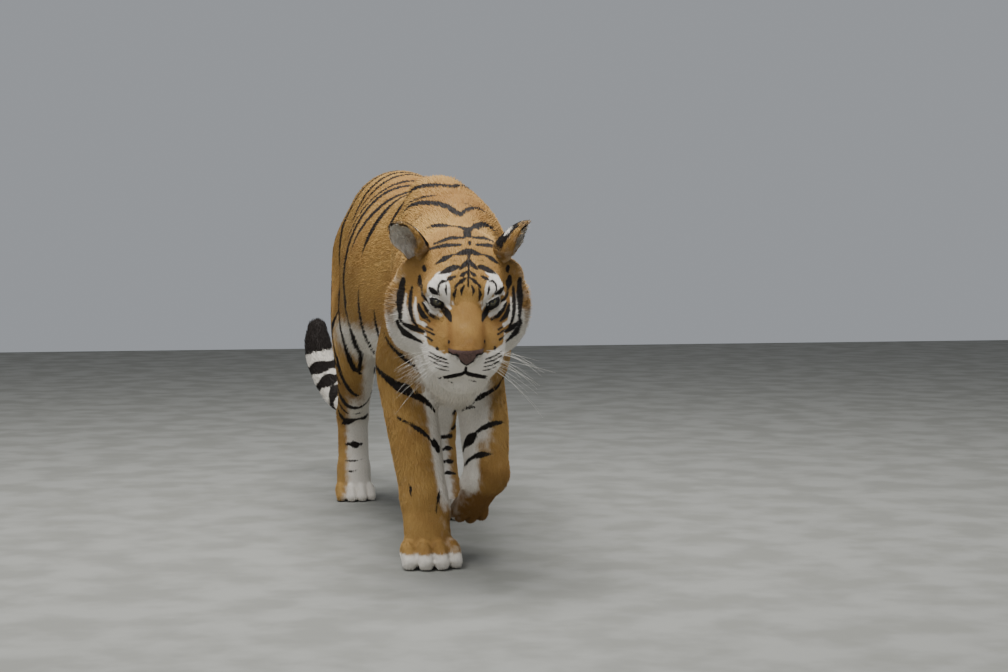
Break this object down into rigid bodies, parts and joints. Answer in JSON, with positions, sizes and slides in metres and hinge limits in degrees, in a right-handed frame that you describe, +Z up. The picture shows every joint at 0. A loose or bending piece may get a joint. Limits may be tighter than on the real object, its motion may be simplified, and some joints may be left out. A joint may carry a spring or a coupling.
{
  "type": "tiger",
  "caption": "Life-size still model of an Amur tiger in mid walk, head low, one forefoot lifted, tail end curled up.",
  "frame": {"origin": "On the floor, under the middle of the model's bounding box.", "axes": "+Z is up. The tiger walks and faces toward -Y. Its left side is toward +X and its tail is toward +Y."},
  "size_m": [0.4222, 2.293, 0.9606],
  "materials": {
    "orange_coat": "short lying fur, ochre orange with black stripes",
    "pale_coat": "short to medium fur, greyish white to cream with black bars",
    "dark_coat": "short fur, brown black",
    "nose_leather": "bare moist nose skin, pinkish brown with a dark rim",
    "eye": "wet clear eyeball, grey green iris"
  },
  "bodies": {
    "root": {"head": "orange_coat", "jaw": "pale_coat", "nose": "nose_leather", "neck": "orange_coat", "trunk": "orange_coat", "ear_left": "dark_coat", "ear_right": "dark_coat", "eye_left": "eye", "eye_right": "eye", "foreleg_left_upper": "orange_coat", "foreleg_left_lower": "orange_coat", "forepaw_left": "pale_coat", "foreleg_right_upper": "orange_coat", "foreleg_right_lower": "orange_coat", "forepaw_right": "pale_coat", "hindleg_left_upper": "orange_coat", "hindleg_left_lower": "pale_coat", "hindpaw_left": "pale_coat", "hindleg_right_upper": "orange_coat", "hindleg_right_lower": "pale_coat", "hindpaw_right": "pale_coat", "tail_base": "orange_coat", "tail_middle": "pale_coat", "tail_tip": "dark_coat"}
  },
  "joints": []
}
